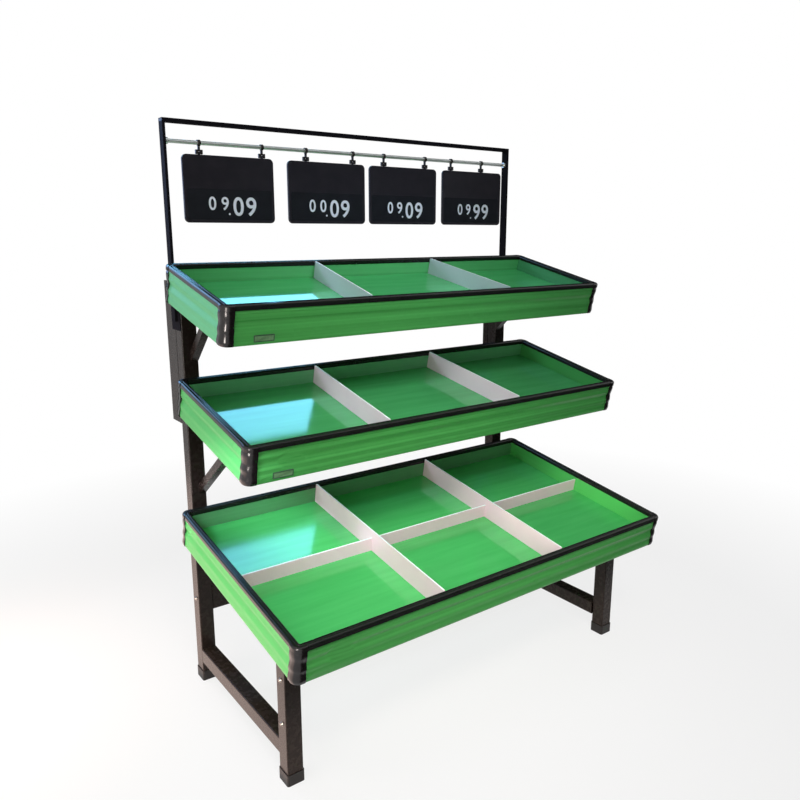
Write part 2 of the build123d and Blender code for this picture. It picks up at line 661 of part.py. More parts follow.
# Price boards, each hung by two clips that hook over the rail and hold a lug on the board by a pin
pin_z = BOARD_TOP_Z + PIN_RISE
cheek_in = LUG_WIDTH / 2 + CHEEK_GAP
foot_half = cheek_in + CHEEK_WIDTH
for board_name, spot in PRICE_BOARDS.items():
    clips_x = (spot["clip_left_x"], spot["clip_right_x"])
    with BuildPart() as board:
        with BuildSketch(Plane.XZ.offset(-SIGN_Y - BOARD_THICK / 2)):
            with Locations((spot["middle_x"], BOARD_TOP_Z - BOARD_HEIGHT / 2)):
                RectangleRounded(BOARD_WIDTH, BOARD_HEIGHT, BOARD_ROUND)
        extrude(amount=BOARD_THICK)
        for x in clips_x:
            with BuildSketch(Plane.YZ.offset(x - LUG_WIDTH / 2)):
                with Locations((SIGN_Y, pin_z)):
                    Circle(LUG_RADIUS)
                with Locations((SIGN_Y, pin_z - PIN_RISE / 2 - BOARD_THICK / 4)):
                    Rectangle(2 * LUG_RADIUS, PIN_RISE + BOARD_THICK / 2)
            extrude(amount=LUG_WIDTH)
            with Locations((x, SIGN_Y, pin_z)):
                Cylinder(PIN_HOLE, 2 * LUG_WIDTH, rotation=(0, 90, 0), mode=Mode.SUBTRACT)
    save(board, f"{board_name}_price_board")

    with BuildPart() as clips:
        for x in clips_x:
            with BuildSketch(Plane.YZ.offset(x - CLIP_RING_WIDTH / 2)):
                with Locations((SIGN_Y, RAIL_Z)):
                    Circle(CLIP_RING_OUT)
                    Circle(CLIP_RING_IN, mode=Mode.SUBTRACT)
                with Locations((SIGN_Y + CLIP_RING_OUT, RAIL_Z - CLIP_MOUTH / 2)):
                    Rectangle(2 * CLIP_RING_IN, CLIP_MOUTH, mode=Mode.SUBTRACT)
            extrude(amount=CLIP_RING_WIDTH)
            stem_low = pin_z + CLIP_BRIDGE_LOW
            stem_high = RAIL_Z - (CLIP_RING_IN + CLIP_RING_OUT) / 2
            with Locations((x, SIGN_Y, (stem_low + stem_high) / 2)):
                Box(CLIP_STEM, CLIP_STEM, stem_high - stem_low)
            bridge_mid_z = pin_z + (CLIP_BRIDGE_LOW + CLIP_BRIDGE_HIGH) / 2
            with Locations((x, SIGN_Y, bridge_mid_z)):
                Box(2 * foot_half, CLIP_FOOT_DEPTH, CLIP_BRIDGE_HIGH - CLIP_BRIDGE_LOW)
            for cheek_side in SIDES.values():
                cheek_x = x + cheek_side * (cheek_in + CHEEK_WIDTH / 2)
                with Locations((cheek_x, SIGN_Y, pin_z)):
                    Cylinder(CHEEK_RADIUS, CHEEK_WIDTH, rotation=(0, 90, 0))
                with Locations((cheek_x, SIGN_Y, pin_z + CLIP_BRIDGE_LOW / 2)):
                    Box(CHEEK_WIDTH, CLIP_FOOT_DEPTH, CLIP_BRIDGE_LOW)
            with Locations((x, SIGN_Y, pin_z)):
                Cylinder(PIN_RADIUS, 2 * foot_half, rotation=(0, 90, 0))
    save(clips, f"{board_name}_board_clips")
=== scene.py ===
# %% [markdown]
# A produce rack for a market stall: a dark painted steel frame, three sloping green trays with
# loose white dividers, and a rail with hanging price boards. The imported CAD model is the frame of
# this lesson. It is loaded once, and nothing in it is moved: we give its pieces their finishes and
# add the pieces that only the eye needs.

# %% Load the CAD frame
import math

import bpy
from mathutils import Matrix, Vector


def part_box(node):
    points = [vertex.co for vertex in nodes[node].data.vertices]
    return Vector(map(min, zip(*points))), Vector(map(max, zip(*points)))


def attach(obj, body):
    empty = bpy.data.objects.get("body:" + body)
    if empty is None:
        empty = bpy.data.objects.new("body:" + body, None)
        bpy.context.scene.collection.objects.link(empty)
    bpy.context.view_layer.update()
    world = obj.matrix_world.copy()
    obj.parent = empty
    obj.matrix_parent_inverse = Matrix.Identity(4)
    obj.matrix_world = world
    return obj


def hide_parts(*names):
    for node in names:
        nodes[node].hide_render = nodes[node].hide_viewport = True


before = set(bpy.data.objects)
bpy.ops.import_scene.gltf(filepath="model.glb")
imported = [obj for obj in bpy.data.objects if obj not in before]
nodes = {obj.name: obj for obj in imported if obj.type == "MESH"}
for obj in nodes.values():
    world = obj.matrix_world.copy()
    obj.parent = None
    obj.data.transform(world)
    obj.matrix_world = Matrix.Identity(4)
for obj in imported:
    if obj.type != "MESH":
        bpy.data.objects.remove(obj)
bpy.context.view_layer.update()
bpy.ops.object.select_all(action="DESELECT")

# %% [markdown]
# The camera stands at the left front corner, about at the height of the top tray. Its place was
# solved from the tray edges in the photograph, so that a tray corner falls on the same pixel here.
# The focal length was found in pixels and is turned into millimetres on Blender's 36 mm sensor.

# %% Camera
IMAGE_PIXELS = 800
FOCAL_PIXELS = 739.9
SENSOR_MM = 36.0
CAMERA_PLACE = (-1.2145, -1.5398, 1.2157)
CAMERA_YAW = 36.497
CAMERA_PITCH = 12.715

camera_data = bpy.data.cameras.new("photo_camera")
camera_data.sensor_fit = "HORIZONTAL"
camera_data.sensor_width = SENSOR_MM
camera_data.lens = SENSOR_MM * FOCAL_PIXELS / IMAGE_PIXELS
camera = bpy.data.objects.new("photo_camera", camera_data)
camera.location = CAMERA_PLACE
camera.rotation_euler = (math.radians(90 - CAMERA_PITCH), 0, math.radians(-CAMERA_YAW))
bpy.context.scene.collection.objects.link(camera)
bpy.context.scene.camera = camera
print("camera lens", round(camera_data.lens, 2), "mm")

# %% [markdown]
# Two small helpers serve every finish. Colours are written as the hex values a painter would
# read off a screen, and one function turns them into the linear values that Blender mixes. One
# more adds a node, sets it up and links it, so that a finish reads as a short list of steps.

# %% Helpers for colours and nodes
def linear(hex_colour, alpha=1.0):
    """Turn an sRGB hex colour into Blender's linear RGBA."""
    channels = [int(hex_colour[start:start + 2], 16) / 255 for start in (1, 3, 5)]
    values = [c / 12.92 if c <= 0.04045 else ((c + 0.055) / 1.055) ** 2.4 for c in channels]
    return (*values, alpha)


def add_node(tree, kind, inputs=None, **settings):
    """Add one node, set its properties, and fill its inputs with values or other nodes' outputs."""
    node = tree.nodes.new(kind)
    for name, value in settings.items():
        setattr(node, name, value)
    for name, value in (inputs or {}).items():
        if isinstance(value, bpy.types.NodeSocket):
            tree.links.new(value, node.inputs[name])
        else:
            node.inputs[name].default_value = value
    return node


print("white in linear light", linear("#FFFFFF"))

# %% [markdown]
# The room is white all round, as a studio sweep is: rays from the camera and rays in a mirror or a
# glass see a strength of 1, which is plain white, while the light that falls on the rack is softer.
# The floor is pale and matt. A part of its white shows to those rays whatever the light does, so the
# background stays white and the shadow under the rack still shows.

# %% World and floor
AMBIENT = 0.24
FLOOR_SIZE = 40.0
SHADOW_REACH = 1.2
WHITE_FROM = 2.4
FLOOR_OWN_WHITE = 0.8

scene = bpy.context.scene
scene.view_settings.view_transform = "Standard"
world = bpy.data.worlds.new("white_room")
scene.world = world
world.use_nodes = True
sky = world.node_tree
sky.nodes.clear()


def looking_rays(tree):
    """1 for rays from the camera and rays in a mirror or a glass, 0 for the light that falls on things."""
    rays = add_node(tree, "ShaderNodeLightPath")
    seen = add_node(tree, "ShaderNodeMath", {0: rays.outputs["Is Camera Ray"],
                                             1: rays.outputs["Is Glossy Ray"]}, operation="MAXIMUM")
    seen = add_node(tree, "ShaderNodeMath", {0: seen.outputs[0], 1: rays.outputs["Is Transmission Ray"]},
                    operation="MAXIMUM")
    return seen.outputs[0]


strength = add_node(sky, "ShaderNodeMapRange", {"Value": looking_rays(sky),
                                                "To Min": AMBIENT, "To Max": 1.0})
white = add_node(sky, "ShaderNodeBackground", {"Color": linear("#FFFFFF"),
                                               "Strength": strength.outputs[0]})
add_node(sky, "ShaderNodeOutputWorld", {"Surface": white.outputs[0]})

bpy.ops.mesh.primitive_plane_add(size=FLOOR_SIZE, location=(0, 0, 0))
floor = bpy.context.object
floor.name = "studio_floor"
floor_paint = bpy.data.materials.new("pale_floor")
floor_paint.use_nodes = True
tree = floor_paint.node_tree
tree.nodes.clear()
matt = add_node(tree, "ShaderNodeBsdfDiffuse", {"Color": linear("#E6E4E0")})
own_white = add_node(tree, "ShaderNodeEmission", {"Color": linear("#FFFFFF"), "Strength": 1.0})
spot = add_node(tree, "ShaderNodeTexCoord").outputs["Object"]
away = add_node(tree, "ShaderNodeVectorMath", {0: spot}, operation="LENGTH")
own = add_node(tree, "ShaderNodeMapRange", {"Value": away.outputs["Value"], "From Min": SHADOW_REACH,
               "From Max": WHITE_FROM, "To Min": FLOOR_OWN_WHITE, "To Max": 1.0})
share = add_node(tree, "ShaderNodeMath", {0: looking_rays(tree), 1: own.outputs[0]}, operation="MULTIPLY")
mixed = add_node(tree, "ShaderNodeMixShader", {0: share.outputs[0], 1: matt.outputs[0],
                                               2: own_white.outputs[0]})
add_node(tree, "ShaderNodeOutputMaterial", {"Surface": mixed.outputs[0]})
floor.data.materials.append(floor_paint)
print("floor", FLOOR_SIZE, "m wide")

# %% [markdown]
# The rack stands with an open side on its left, so most light comes from there: a large low softbox
# and a smaller one above it. The lamp overhead is weak. Narrow beams do the rest, as small lamps do in
# a studio: one reaches under the middle tray into the lowest one, one falls on the lowest tray's open
# front half, one fills the upper trays from the front, one finds the lowest tray's right end wall, and
# one warms the ground beside the rack. A lamp's watts are for the whole lamp, so a narrow spread makes
# a bright beam out of few watts. None of these lamps shows in a reflection, because glossy plastic
# would mirror each of them as a hard white shape.

# %% Lamps
def area_lamp(name, place, aim, size, watts, colour, spread=180):
    """A rectangular soft lamp at a place, facing a point, and hidden from the camera."""
    lamp_data = bpy.data.lights.new(name, "AREA")
    lamp_data.shape = "RECTANGLE"
    lamp_data.size, lamp_data.size_y = size
    lamp_data.energy = watts
    lamp_data.color = linear(colour)[:3]
    lamp_data.spread = math.radians(spread)
    lamp = bpy.data.objects.new(name, lamp_data)
    lamp.location = place
    lamp.rotation_euler = (Vector(aim) - Vector(place)).to_track_quat("-Z", "Y").to_euler()
    lamp.visible_camera = False
    scene.collection.objects.link(lamp)
    return lamp


lamps = [
    area_lamp("left_softbox", (-1.9, -0.2, 0.65), (0, -0.2, 0.65),
              size=(1.7, 1.3), watts=21, colour="#FFF4EA"),
    area_lamp("upper_left_softbox", (-2.2, -0.2, 1.7), (0, -0.1, 0.7),
              size=(1.7, 0.8), watts=8, colour="#DCE8FF"),
    area_lamp("under_tray_lamp", (-1.1, -0.2, 1.05), (-0.38, 0.19, 0.47),
              size=(0.5, 0.06), watts=0.38, colour="#E8EEFF", spread=18),
    area_lamp("overhead_softbox", (0, -0.3, 3.0), (0, -0.2, 0),
              size=(1.5, 1.0), watts=7, colour="#DDE6FF"),
    area_lamp("aisle_lamp", (-0.7, -1.5, 2.1), (-0.1, -0.25, 0.42),
              size=(0.8, 0.5), watts=3.2, colour="#FFF6F4", spread=46),
    area_lamp("front_fill", (0.1, -1.9, 2.3), (0.05, 0.22, 1.15),
              size=(0.6, 0.4), watts=0.65, colour="#DCE6FF", spread=30),
    area_lamp("right_wall_lamp", (-1.0, -0.75, 0.75), (0.58, -0.17, 0.445),
              size=(0.3, 0.1), watts=0.12, colour="#FFF4EA", spread=12),
    area_lamp("yard_lamp", (-1.3, 0.6, 1.0), (-1.2, 0.6, 0),
              size=(0.8, 0.8), watts=4.0, colour="#FFDCC8", spread=60),
]
for lamp in lamps:
    lamp.visible_glossy = False
print("lamps", [lamp.name for lamp in lamps])

# %% [markdown]
# What the gloss mirrors is set apart from what lights the rack. Behind it, a long blue strip stands for
# a strip of sky and gives the blue patch in the left compartments. A cool card beside the strip and a
# warm glow on the ground stand for the bright yard on the left, and give the left ends and the frame's
# left faces their sheen. A tall spark in front on the left gives the corner pieces their highlights.
# These four show in reflections alone. The sky also sends plain light through the gaps from behind, so
# a fifth lamp in the strip's place gives that light and isn't mirrored.

# %% Mirrored light
STRIP_Y = 1.78
STRIP_LEFT = -1.6
STRIP_RIGHT = 0.915
STRIP_LOW = 2.045
STRIP_HIGH = 2.39
COOL_Y = STRIP_Y - 0.03
COOL_LEFT = -1.9
COOL_RIGHT = -0.62
COOL_LOW = 1.2
COOL_HIGH = 3.2
GLOW_LEFT = -2.2
GLOW_RIGHT = -0.575
GLOW_FRONT = -0.25
GLOW_BACK = 1.9
GLOW_Z = 0.004


def upright_card(name, y, across, up, watts, colour):
    """A lamp that stands upright behind the rack and faces it, given by its edges."""
    x, z = sum(across) / 2, sum(up) / 2
    return area_lamp(name, (x, y, z), (x, 0, z), (across[1] - across[0], up[1] - up[0]), watts, colour)


spark = area_lamp("corner_spark", (-2.0, -1.33, 0.55), (-0.6, -0.2, 0.55),
                  size=(0.4, 0.9), watts=40, colour="#FFF4EC")
strip = upright_card("sky_strip", STRIP_Y, (STRIP_LEFT, STRIP_RIGHT), (STRIP_LOW, STRIP_HIGH),
                     watts=20, colour="#7DD2FF")
cool = upright_card("cool_card", COOL_Y, (COOL_LEFT, COOL_RIGHT), (COOL_LOW, COOL_HIGH),
                    watts=30, colour="#ACC8FF")
glow_x, glow_y = (GLOW_LEFT + GLOW_RIGHT) / 2, (GLOW_FRONT + GLOW_BACK) / 2
glow = area_lamp("yard_glow", (glow_x, glow_y, GLOW_Z), (glow_x, glow_y, 1),
                 size=(GLOW_RIGHT - GLOW_LEFT, GLOW_BACK - GLOW_FRONT), watts=14, colour="#FFD2BE")
for lamp in (spark, strip, cool, glow):
    lamp.visible_diffuse = False
sky_light = area_lamp("sky_light", (-0.9, STRIP_Y, 2.2), (-0.45, 0.1, 0.8),
                      size=(1.4, 0.35), watts=4.5, colour="#DFE8FF", spread=70)
sky_light.visible_glossy = False
print("mirrored", [lamp.name for lamp in (spark, strip, cool, glow)])

# %% [markdown]
# The rest of what the gloss could mirror is the white room, which would wash out the greens and the
# blacks. Four dark cards stand for a dim hall: two behind the rack, above and below, one across the
# aisle, and one on the ground in front. Only reflections see them, so they hold back no light and
# throw no shadow.

# %% Dark cards
CARD_Y = STRIP_Y + 0.08
AISLE_Y = -3.2
GROUND_Z = 0.003
DARK_CARDS = {"dark_card_upper": ((1.5, CARD_Y, 3.05), (9.0, 3.9), 90),
              "dark_card_lower": ((2.525, CARD_Y, 0.55), (6.95, 1.1), 90),
              "dark_card_aisle": ((2.0, AISLE_Y, 2.0), (6.0, 4.0), 90),
              "dark_card_ground": ((2.2, -1.875, GROUND_Z), (5.6, 2.65), 0)}

card_paint = bpy.data.materials.new("dark_card")
card_paint.use_nodes = True
card_shader = card_paint.node_tree.nodes["Principled BSDF"]
card_shader.inputs["Base Color"].default_value = linear("#2A2E2C")
card_shader.inputs["Roughness"].default_value = 1.0
for name, (middle, (width, length), tilt) in DARK_CARDS.items():
    bpy.ops.mesh.primitive_plane_add(size=1.0, location=(0, 0, 0))
    card = bpy.context.object
    card.name = name
    bpy.ops.transform.resize(value=(width, length, 1.0))
    card.rotation_euler = (math.radians(tilt), 0, 0)
    card.location = middle
    card.data.materials.append(card_paint)
    for sight in ("visible_camera", "visible_diffuse", "visible_transmission", "visible_shadow"):
        setattr(card, sight, False)
print("dark cards", list(DARK_CARDS))

# %% [markdown]
# Finishes next. Each one begins as a single Principled shader with its plain values set on the
# sockets, and then a few patterns in real millimetres are added to its colour, roughness and bump.

# %% Starting a finish
def start_finish(name, roughness, **plain):
    """A material with one Principled shader and Object coordinates; plain values go on the sockets."""
    material = bpy.data.materials.new(name)
    material.use_nodes = True
    tree = material.node_tree
    shader = tree.nodes["Principled BSDF"]
    shader.inputs["Roughness"].default_value = roughness
    for socket, value in plain.items():
        shader.inputs[socket.replace("_", " ")].default_value = value
    place = add_node(tree, "ShaderNodeTexCoord").outputs["Object"]
    return material, tree, shader, place


def per_metre(millimetres):
    """Noise scale whose cells are this many millimetres wide."""
    return 1000.0 / millimetres


def wear(node_names, material):
    """Give CAD nodes a finish, in the slot that they came with."""
    for name in node_names:
        slots = nodes[name].material_slots
        for index in range(len(slots)):
            slots[index].material = material


print("a 5 mm grain has scale", per_metre(5))

# %% [markdown]
# The frame is square steel tube with a baked powder coat, almost black with a brown cast. A powder
# coat melts into a satin skin with a fine orange peel. Near the ground it holds dust, and where
# shoes and crates rub it, the gloss changes. The sign frame is a blacker and duller coat, too high up
# to catch dust. One function makes both, so that they differ only in its values.

# %% Powder-coated steel
DUST_SHARE = 0.22


def powder_coat(name, dark, light, dusty, dust_height, roughness, specular):
    """Satin powder coat: orange peel of 2 mm, cloudy tone of 90 mm, dust that fades above the ground."""
    material, tree, shader, place = start_finish(name, roughness, Specular_IOR_Level=specular)
    cloud = add_node(tree, "ShaderNodeTexNoise", {"Vector": place, "Scale": per_metre(90), "Detail": 5.0})
    tone = add_node(tree, "ShaderNodeMix", {0: cloud.outputs[0], 6: linear(dark), 7: linear(light)},
                    data_type="RGBA")
    height = add_node(tree, "ShaderNodeSeparateXYZ", {0: place})
    low = add_node(tree, "ShaderNodeMapRange", {"Value": height.outputs["Z"], "From Min": 0.0,
                   "From Max": dust_height, "To Min": DUST_SHARE, "To Max": 0.0})
    speck = add_node(tree, "ShaderNodeTexNoise", {"Vector": place, "Scale": per_metre(14), "Detail": 6.0})
    dust = add_node(tree, "ShaderNodeMath", {0: low.outputs[0], 1: speck.outputs[0]}, operation="MULTIPLY")
    colour = add_node(tree, "ShaderNodeMix", {0: dust.outputs[0], 6: tone.outputs[2], 7: linear(dusty)},
                      data_type="RGBA")
    tree.links.new(colour.outputs[2], shader.inputs["Base Color"])
    gloss = add_node(tree, "ShaderNodeMapRange", {"Value": speck.outputs[0], "To Min": roughness - 0.07,
                     "To Max": roughness + 0.07})
    tree.links.new(gloss.outputs[0], shader.inputs["Roughness"])
    peel = add_node(tree, "ShaderNodeTexNoise", {"Vector": place, "Scale": per_metre(2.2), "Detail": 2.0})
    bump = add_node(tree, "ShaderNodeBump", {"Height": peel.outputs[0], "Strength": 0.12,
                                             "Distance": 0.0004})
    tree.links.new(bump.outputs[0], shader.inputs["Normal"])
    return material


frame_coat = powder_coat("powder_coated_steel", dark="#1B1513", light="#2A221F", dusty="#7A675B",
                         dust_height=0.35, roughness=0.27, specular=0.14)
sign_coat = powder_coat("powder_coated_sign_tube", dark="#121115", light="#1A181D", dusty="#3A3738",
                        dust_height=0.01, roughness=0.6, specular=0.02)
frame_names = [n for n in nodes if n.endswith(("_rear_post", "_front_leg", "_stretcher", "_tray_rail",
                                               "_cross_beam", "_arm", "_brace", "back_angles"))]
sign_names = ["sign_plates", "left_sign_post", "right_sign_post", "sign_top_bar"]
wear(frame_names, frame_coat)
wear(sign_names, sign_coat)
print("powder coat on", len(frame_names + sign_names), "nodes")

# %% [markdown]
# Bolts are zinc-plated steel, the rail is chromed tube. Both are metals, so the colour is the
# metal's own reflection, and the surface tells them apart: dark and blotchy zinc, and a pale chrome
# that clips and hands have rubbed satin, with fine lines from polishing along the tube.

# %% Zinc and chrome
zinc, tree, shader, place = start_finish("zinc_plated_steel", 0.38, Metallic=1.0)
blotch = add_node(tree, "ShaderNodeTexNoise", {"Vector": place, "Scale": per_metre(4), "Detail": 4.0})
tone = add_node(tree, "ShaderNodeMix", {0: blotch.outputs[0], 6: linear("#6E6862"), 7: linear("#A59E96")},
                data_type="RGBA")
tree.links.new(tone.outputs[2], shader.inputs["Base Color"])
gloss = add_node(tree, "ShaderNodeMapRange", {"Value": blotch.outputs[0], "To Min": 0.28, "To Max": 0.5})
tree.links.new(gloss.outputs[0], shader.inputs["Roughness"])

chrome, tree, shader, place = start_finish("chromed_tube", 0.48, Metallic=1.0)
along = add_node(tree, "ShaderNodeMapping", {"Vector": place, "Scale": (4, per_metre(1.2), per_metre(1.2))})
line = add_node(tree, "ShaderNodeTexNoise", {"Vector": along.outputs[0], "Scale": 1.0, "Detail": 3.0})
tone = add_node(tree, "ShaderNodeMix", {0: line.outputs[0], 6: linear("#C2C9C8"), 7: linear("#DDE3E2")},
                data_type="RGBA")
tree.links.new(tone.outputs[2], shader.inputs["Base Color"])
gloss = add_node(tree, "ShaderNodeMapRange", {"Value": line.outputs[0], "To Min": 0.4, "To Max": 0.56})
tree.links.new(gloss.outputs[0], shader.inputs["Roughness"])
wear(["frame_bolts"], zinc)
wear(["price_rail"], chrome)
print("metals", zinc.name, chrome.name)

# %% [markdown]
# The black plastics are four: soft extruded PVC on the rims, polished ABS on the corner pieces, a
# duller ABS on the feet, caps and clips, and the ABS of the price boards. Moulded parts carry the fine
# texture of their mould; an extruded strip is smoother. That grain is a few tenths of a millimetre on
# the real plastic, too fine to show here, so it is drawn about 1 mm wide.

# %% Black plastics
def black_plastic(name, dark, light, roughness, specular, grain_mm, grain_bump):
    """Moulded or extruded black plastic: soft tone, uneven gloss and the mould's fine grain."""
    material, tree, shader, place = start_finish(name, roughness, Specular_IOR_Level=specular)
    cloud = add_node(tree, "ShaderNodeTexNoise", {"Vector": place, "Scale": per_metre(35), "Detail": 4.0})
    tone = add_node(tree, "ShaderNodeMix", {0: cloud.outputs[0], 6: linear(dark), 7: linear(light)},
                    data_type="RGBA")
    tree.links.new(tone.outputs[2], shader.inputs["Base Color"])
    gloss = add_node(tree, "ShaderNodeMapRange", {"Value": cloud.outputs[0], "To Min": roughness - 0.06,
                     "To Max": roughness + 0.08})
    tree.links.new(gloss.outputs[0], shader.inputs["Roughness"])
    grain = add_node(tree, "ShaderNodeTexNoise", {"Vector": place, "Scale": per_metre(grain_mm),
                                                  "Detail": 2.0})
    bump = add_node(tree, "ShaderNodeBump", {"Height": grain.outputs[0], "Strength": grain_bump,
                                             "Distance": 0.0003})
    tree.links.new(bump.outputs[0], shader.inputs["Normal"])
    return material


rim_pvc = black_plastic("extruded_black_pvc", "#131614", "#1C1F1C", roughness=0.22, specular=0.3,
                        grain_mm=1.5, grain_bump=0.05)
corner_abs = black_plastic("moulded_black_abs", "#100D0E", "#181415", roughness=0.2, specular=0.45,
                           grain_mm=1.1, grain_bump=0.04)
foot_abs = black_plastic("moulded_foot_abs", "#201C1A", "#2C2725", roughness=0.45, specular=0.3,
                         grain_mm=1.1, grain_bump=0.12)
board_abs = black_plastic("price_board_abs", "#232127", "#2E2B31", roughness=0.42, specular=0.14,
                          grain_mm=0.9, grain_bump=0.08)
wear([n for n in nodes if n.endswith("_rim_strips")], rim_pvc)
wear([n for n in nodes if n.endswith("_tray_corners")], corner_abs)
wear(["foot_sleeves", "end_caps"] + [n for n in nodes if n.endswith("_board_clips")], foot_abs)
wear([n for n in nodes if n.endswith("_price_board")], board_abs)
print("black plastics", rim_pvc.name, corner_abs.name, foot_abs.name, board_abs.name)

# %% [markdown]
# The tray walls are extruded green PVC profiles. An extrusion has faint streaks along its run, so the
# pattern is stretched that way: along X on the front and rear walls, and down the slope on the end
# walls. Each side of a tray gets its own green, and these greens hold painted light and shade: the
# front walls are darker as painted shade, the rear walls lighter as painted light, the top end walls
# bluer as a painted sky reflection, and each tray's rear and end greens follow the light that it gets.

# %% Green PVC walls
SLOPES = {"top": 12.97, "middle": 12.33, "bottom": 9.48}
STREAK = per_metre(6)
RUN = per_metre(2500)
# Painted light and shade in the tone pairs: dark fronts as shade, light rears as light, a bluer top end as
# sky.
FRONT_TONES_PAINTED_SHADE = ("#328038", "#58B65E")
REAR_TONES_PAINTED_LIGHT = {"top": ("#5AB96E", "#6CCD83"), "middle": ("#65B57C", "#7AC893"),
              "bottom": ("#5A9C66", "#6CAD79")}
END_TONES_PAINTED_LIGHT = {"top": ("#4A9C6A", "#5CAE7C"), "middle": ("#3C974B", "#4CA85A"),
             "bottom": ("#46AE52", "#56C062")}


def green_profile(name, tones, roughness, specular, run_scale, turn=0):
    """Extruded PVC: fine straight streaks along the run, in a satin gloss."""
    dull, bright = tones
    material, tree, shader, place = start_finish(name, roughness, Specular_IOR_Level=specular)
    turned = add_node(tree, "ShaderNodeMapping", {"Vector": place, "Rotation": (math.radians(turn), 0, 0)})
    along = add_node(tree, "ShaderNodeMapping", {"Vector": turned.outputs[0], "Scale": run_scale})
    streak = add_node(tree, "ShaderNodeTexNoise", {"Vector": along.outputs[0], "Scale": 1.0, "Detail": 3.0})
    tone = add_node(tree, "ShaderNodeMix", {0: streak.outputs[0], 6: linear(dull), 7: linear(bright)},
                    data_type="RGBA")
    tree.links.new(tone.outputs[2], shader.inputs["Base Color"])
    gloss = add_node(tree, "ShaderNodeMapRange", {"Value": streak.outputs[0], "To Min": roughness - 0.05,
                     "To Max": roughness + 0.05})
    tree.links.new(gloss.outputs[0], shader.inputs["Roughness"])
    bump = add_node(tree, "ShaderNodeBump", {"Height": streak.outputs[0], "Strength": 0.1,
                                             "Distance": 0.0003})
    tree.links.new(bump.outputs[0], shader.inputs["Normal"])
    return material


# Each wall's finish takes its tone pair, painted light or shade included.
front_wall = green_profile("extruded_green_pvc_front", FRONT_TONES_PAINTED_SHADE, roughness=0.29, specular=0.17,
                           run_scale=(RUN, STREAK, STREAK))
wear([n for n in nodes if n.endswith("_front_wall")], front_wall)
for tray, slope in SLOPES.items():
    rear_wall = green_profile(f"green_pvc_with_painted_light_{tray}_rear", REAR_TONES_PAINTED_LIGHT[tray], roughness=0.29,
                              specular=0.5, run_scale=(RUN, STREAK, STREAK))
    wear([f"{tray}_tray_rear_wall"], rear_wall)
    end_wall = green_profile(f"green_pvc_with_painted_light_{tray}_end", END_TONES_PAINTED_LIGHT[tray], roughness=0.45,
                             specular=0.35, run_scale=(STREAK, RUN, STREAK), turn=-slope)
    wear([f"{tray}_tray_end_walls"], end_wall)
print("green PVC on the walls of", list(SLOPES))

# %% [markdown]
# The floors are smooth green PVC sheet, calendered between polished rolls, so they mirror what stands on
# them and behind them. Boxes that are pushed along them leave faint drag marks, longer than wide, and a
# sheet that lies on a frame is never quite flat, which a weak and wide bump shows in the reflections. The
# top sheet has lost some of its gloss to the light, and the middle one is a darker green, as painted shade
# from the tray above it.

# %% Green PVC floors
DRAG_LONG = per_metre(260)
DRAG_WIDE = per_metre(22)
# The middle sheet's darker green is painted shade from the tray above.
SHEETS_WITH_PAINTED_SHADE = {"top": ("#42AC5C", "#58C874", 0.36), "middle": ("#3B9652", "#4FAF67", 0.5),
          "bottom": ("#40AE58", "#56CA6F", 0.56)}

for tray, (dull, bright, specular) in SHEETS_WITH_PAINTED_SHADE.items():
    sheet, tree, shader, place = start_finish(f"green_pvc_sheet_{tray}", 0.07, Specular_IOR_Level=specular)
    along = add_node(tree, "ShaderNodeMapping", {"Vector": place,
                                                 "Scale": (DRAG_LONG, DRAG_WIDE, DRAG_WIDE)})
    drag = add_node(tree, "ShaderNodeTexNoise", {"Vector": along.outputs[0], "Scale": 1.0, "Detail": 5.0})
    tone = add_node(tree, "ShaderNodeMix", {0: drag.outputs[0], 6: linear(dull), 7: linear(bright)},
                    data_type="RGBA")
    tree.links.new(tone.outputs[2], shader.inputs["Base Color"])
    gloss = add_node(tree, "ShaderNodeMapRange", {"Value": drag.outputs[0], "To Min": 0.04, "To Max": 0.09})
    tree.links.new(gloss.outputs[0], shader.inputs["Roughness"])
    warp = add_node(tree, "ShaderNodeTexNoise", {"Vector": place, "Scale": per_metre(120), "Detail": 1.0})
    bump = add_node(tree, "ShaderNodeBump", {"Height": warp.outputs[0], "Strength": 0.1,
                                             "Distance": 0.0008})
    tree.links.new(bump.outputs[0], shader.inputs["Normal"])
    wear([f"{tray}_tray_floor"], sheet)
print("green PVC sheet on", len(SHEETS_WITH_PAINTED_SHADE), "floors")

# %% [markdown]
# The dividers are loose white PVC strips, satin, with scuffs where crates and fruit rub along them. Their
# white is a little pink, and the upper two sets are tinted bluer as painted sky light, the top set most.
# The faces that look up are mixed towards a paler colour by how far they look up, as a painted highlight on
# the top edges.

# %% White divider plastic
# Pinkish white per tray, with painted blue sky light in the top and middle tones; the pale colour is a
# painted highlight.
DIVIDER_TONES_AND_SKY_TINT = {"top": ("#B9C8D0", "#C5D4DC"), "middle": ("#E4D0DF", "#F0DEEB"),
                 "bottom": ("#EDD1DD", "#F9DDE9")}
PAINTED_TOP_HIGHLIGHT = "#F4FFFF"

